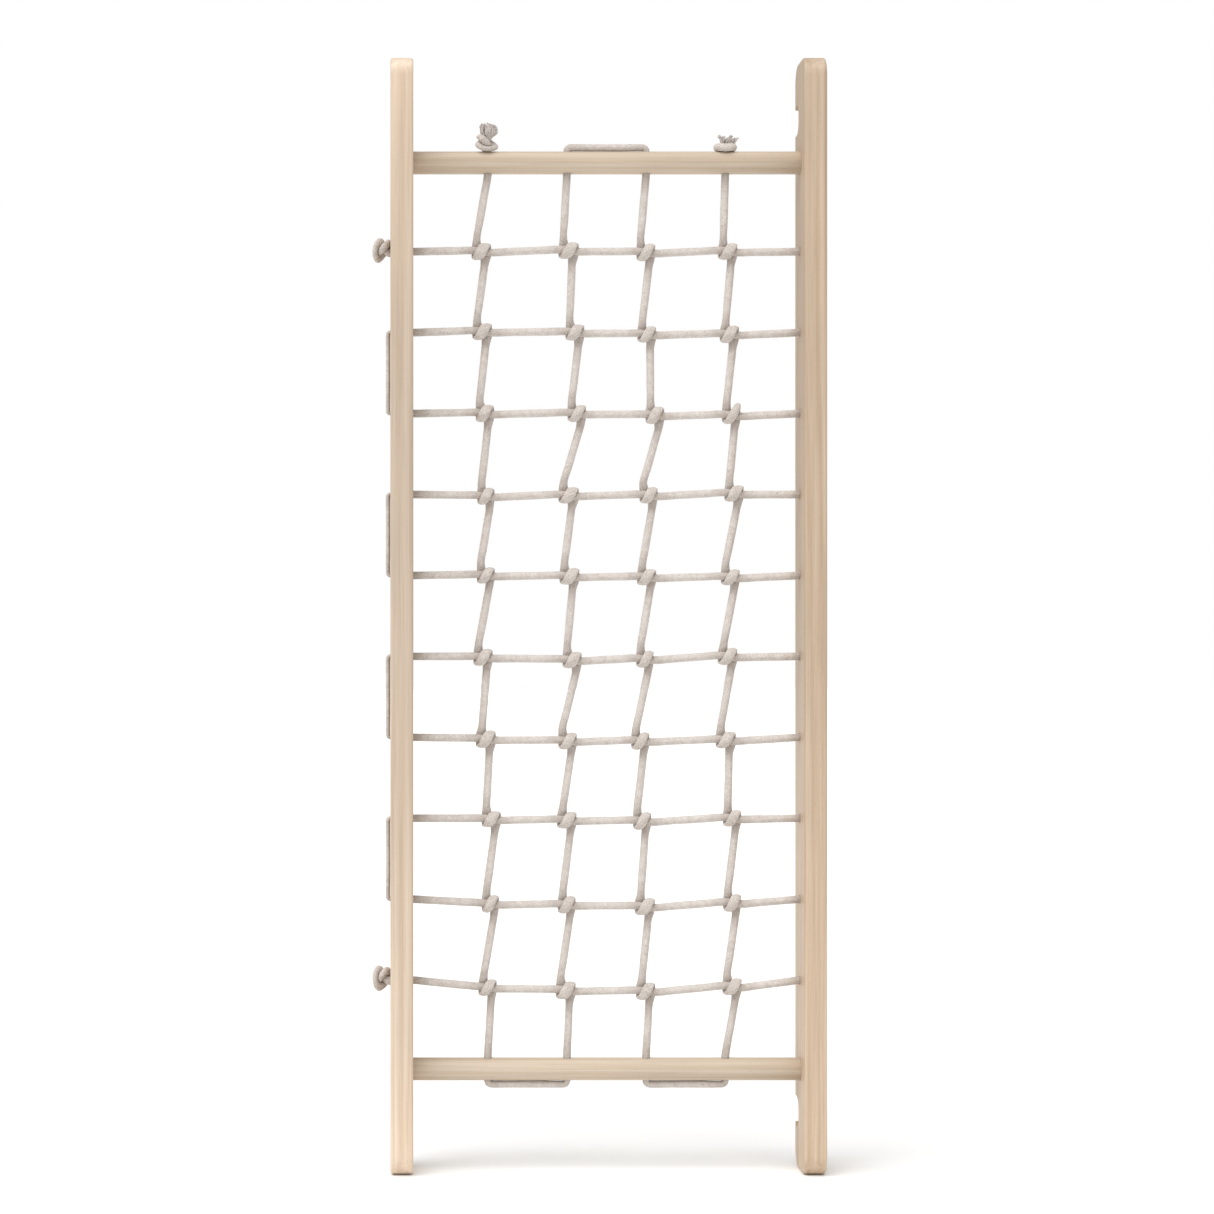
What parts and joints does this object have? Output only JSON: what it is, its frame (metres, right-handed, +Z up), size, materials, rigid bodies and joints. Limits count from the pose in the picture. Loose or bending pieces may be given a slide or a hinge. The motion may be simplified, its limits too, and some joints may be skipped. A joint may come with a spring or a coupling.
{
  "type": "climbing net panel",
  "caption": "Upright wooden frame of two rounded rails and two round rungs, strung with a hand-knotted cotton rope net, with hook notches in the back edges of the rails.",
  "frame": {"origin": "on the floor, under the middle of the whole panel with its knots and loops, which is 7 mm left of the middle between the rails, and at mid-depth", "axes": "+X towards the right rail seen from the front, +Y towards the back, where the hook notches open, +Z up"},
  "size_m": [0.5006, 0.078, 1.22],
  "materials": {
    "rail_wood": "clear satin oil on straight-grained birch, long edges rounded",
    "rung_wood": "clear satin oil on turned birch",
    "plug_wood": "end grain, sanded flush",
    "cotton_rope": "undyed braided cotton, matt and slightly fuzzy",
    "zinc_screw": "bright zinc plate"
  },
  "bodies": {
    "root": {"bottom_loop_columns_1_2": "cotton_rope", "bottom_loop_columns_3_4": "cotton_rope", "bottom_rung": "rung_wood", "column_rope_1_part_1": "cotton_rope", "column_rope_1_part_2": "cotton_rope", "column_rope_1_part_3": "cotton_rope", "column_rope_1_part_4": "cotton_rope", "column_rope_2_part_1": "cotton_rope", "column_rope_2_part_2": "cotton_rope", "column_rope_2_part_3": "cotton_rope", "column_rope_2_part_4": "cotton_rope", "column_rope_3_part_1": "cotton_rope", "column_rope_3_part_2": "cotton_rope", "column_rope_3_part_3": "cotton_rope", "column_rope_3_part_4": "cotton_rope", "column_rope_4_part_1": "cotton_rope", "column_rope_4_part_2": "cotton_rope", "column_rope_4_part_3": "cotton_rope", "column_rope_4_part_4": "cotton_rope", "column_rope_end_knot_left": "cotton_rope", "column_rope_end_knot_right": "cotton_rope", "left_loop_rows_2_3": "cotton_rope", "left_loop_rows_4_5": "cotton_rope", "left_loop_rows_6_7": "cotton_rope", "left_loop_rows_8_9": "cotton_rope", "left_rail": "rail_wood", "right_loop_rows_1_2": "cotton_rope", "right_loop_rows_3_4": "cotton_rope", "right_loop_rows_5_6": "cotton_rope", "right_loop_rows_7_8": "cotton_rope", "right_loop_rows_9_10": "cotton_rope", "right_rail": "rail_wood", "row_rope_1": "cotton_rope", "row_rope_10_part_1": "cotton_rope", "row_rope_10_part_2": "cotton_rope", "row_rope_10_part_3": "cotton_rope", "row_rope_2": "cotton_rope", "row_rope_3": "cotton_rope", "row_rope_4": "cotton_rope", "row_rope_5": "cotton_rope", "row_rope_6_part_1": "cotton_rope", "row_rope_6_part_2": "cotton_rope", "row_rope_7_part_1": "cotton_rope", "row_rope_7_part_2": "cotton_rope", "row_rope_8": "cotton_rope", "row_rope_9_part_1": "cotton_rope", "row_rope_9_part_2": "cotton_rope", "row_rope_end_knot_bottom": "cotton_rope", "row_rope_end_knot_top": "cotton_rope", "rung_screw_bottom_left": "zinc_screw", "rung_screw_bottom_right": "zinc_screw", "rung_screw_top_left": "zinc_screw", "rung_screw_top_right": "zinc_screw", "screw_plug_bottom_left": "plug_wood", "screw_plug_bottom_right": "plug_wood", "screw_plug_top_left": "plug_wood", "screw_plug_top_right": "plug_wood", "top_loop_columns_2_3": "cotton_rope", "top_rung": "rung_wood"}
  },
  "joints": []
}
